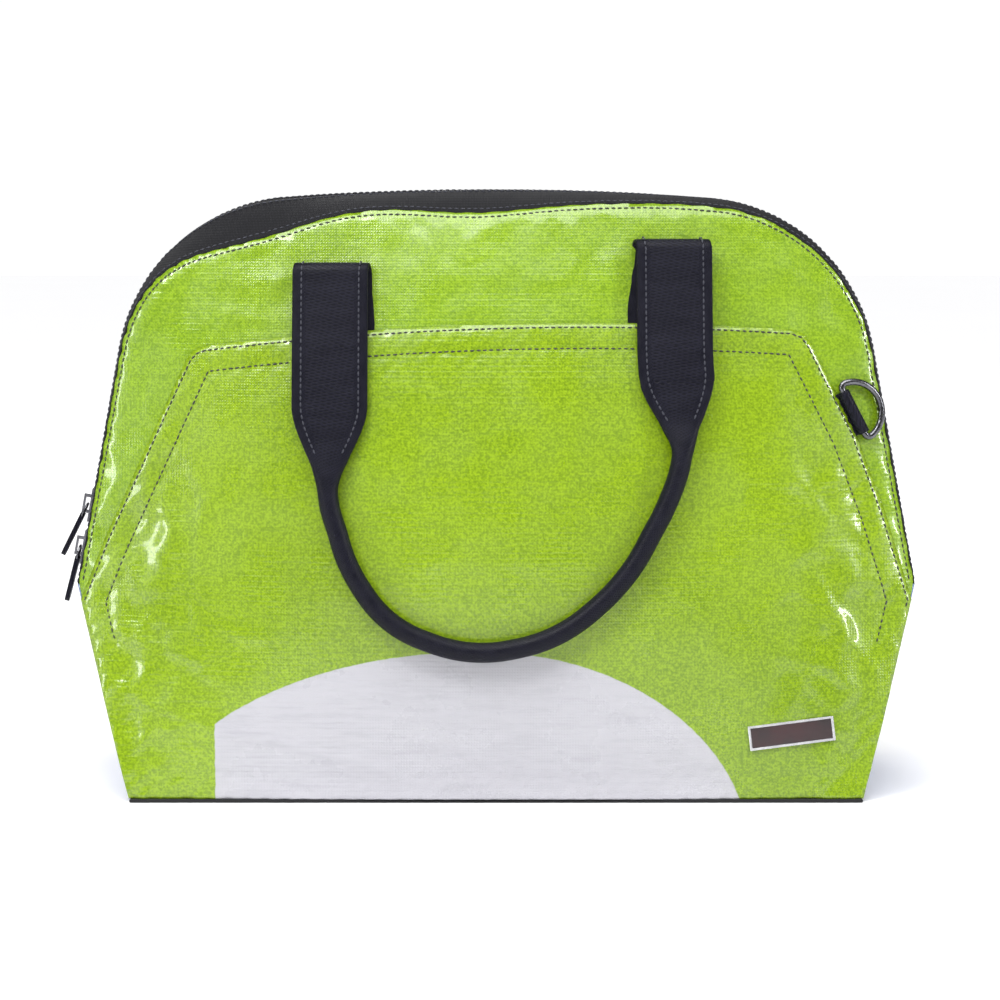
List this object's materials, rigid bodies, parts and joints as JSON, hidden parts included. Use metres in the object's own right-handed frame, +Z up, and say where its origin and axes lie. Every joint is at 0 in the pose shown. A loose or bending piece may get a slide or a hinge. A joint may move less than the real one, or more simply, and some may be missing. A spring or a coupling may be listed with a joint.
{
  "type": "zip-top handbag",
  "caption": "Domed zip-top handbag of printed vinyl with sewn-on front and back overlays, rolled leather handles, strap rings and a metal zip over the top.",
  "frame": {"origin": "centre of the base where it stands on the floor", "axes": "+Z up, -Y towards the front with the name plate, +X to the right seen from the front"},
  "size_m": [0.4555, 0.203, 0.3146],
  "materials": {
    "green_vinyl": "glossy printed tarpaulin vinyl",
    "blue_vinyl": "glossy printed tarpaulin vinyl",
    "base_vinyl": "black coated cloth",
    "black_strip": "woven nylon",
    "zip_tape": "woven tape",
    "zip_metal": "dark nickel",
    "gunmetal": "polished gunmetal",
    "bright_metal": "polished nickel",
    "enamel": "dark enamel",
    "black_leather": "cross-hatched grain",
    "cord_core": "cotton cord",
    "lining_cloth": "woven nylon",
    "stiffening_board": "pressed board"
  },
  "bodies": {
    "bag": {"front_upper_panel": "green_vinyl", "front_overlay_panel": "green_vinyl", "front_zip_strip": "black_strip", "front_zip_tape": "zip_tape", "front_strap_anchor_left": "black_leather", "front_strap_anchor_right": "black_leather", "front_d_ring_tab": "black_leather", "back_upper_panel": "green_vinyl", "back_overlay_panel": "green_vinyl", "back_zip_strip": "black_strip", "back_zip_tape": "zip_tape", "back_strap_anchor_left": "black_leather", "back_strap_anchor_right": "black_leather", "back_d_ring_tab": "black_leather", "front_zip_teeth": "zip_metal", "back_zip_teeth": "zip_metal", "zip_end_stops": "zip_metal", "right_end_gusset": "blue_vinyl", "left_end_gusset": "blue_vinyl", "lining": "lining_cloth", "base_panel": "base_vinyl", "base_board": "stiffening_board", "name_plate_frame": "bright_metal", "name_plate_field": "enamel", "name_plate_backing": "bright_metal"},
    "front_handle": {"front_handle_leather": "black_leather", "front_handle_core": "cord_core"},
    "back_handle": {"back_handle_leather": "black_leather", "back_handle_core": "cord_core"},
    "upper_slider": {"upper_slider": "gunmetal"},
    "lower_slider": {"lower_slider": "gunmetal"},
    "upper_pull": {"upper_pull_ring": "gunmetal", "upper_pull_tab": "black_leather"},
    "lower_pull": {"lower_pull_ring": "gunmetal", "lower_pull_tab": "black_leather"},
    "front_d_ring": {"front_d_ring": "gunmetal"},
    "back_d_ring": {"back_d_ring": "gunmetal"}
  },
  "joints": [
    {"name": "front_handle_swing", "type": "hinge", "parent": "bag", "child": "front_handle", "pos_m": [-0.084, -0.05635, 0.278], "axis": [-0.9974, -0.0243, -0.068], "range_deg": [0, 144]},
    {"name": "back_handle_swing", "type": "hinge", "parent": "bag", "child": "back_handle", "pos_m": [0.084, 0.05635, 0.278], "axis": [0.9974, 0.0243, -0.068], "range_deg": [0, 144]},
    {"name": "upper_slider_travel", "type": "slide", "parent": "bag", "child": "upper_slider", "axis": [0.1829, 0, 0.9831], "range_m": [0, 0.075]},
    {"name": "lower_slider_travel", "type": "slide", "parent": "bag", "child": "lower_slider", "axis": [0.1829, 0, 0.9831], "range_m": [-0.002, 0.002]},
    {"name": "upper_pull_swing", "type": "hinge", "parent": "upper_slider", "child": "upper_pull", "pos_m": [-0.21845, 0, 0.14724], "axis": [0, 1, 0], "range_deg": [0, 140]},
    {"name": "lower_pull_swing", "type": "hinge", "parent": "lower_slider", "child": "lower_pull", "pos_m": [-0.22266, 0, 0.12462], "axis": [0, 1, 0], "range_deg": [0, 35]},
    {"name": "front_d_ring_swing", "type": "hinge", "parent": "bag", "child": "front_d_ring", "pos_m": [0.18594, -0.05147, 0.20048], "axis": [0.4615, 0.0332, -0.8865], "range_deg": [0, 150]},
    {"name": "back_d_ring_swing", "type": "hinge", "parent": "bag", "child": "back_d_ring", "pos_m": [-0.18594, 0.05147, 0.20048], "axis": [-0.4615, -0.0332, -0.8865], "range_deg": [0, 150]}
  ]
}
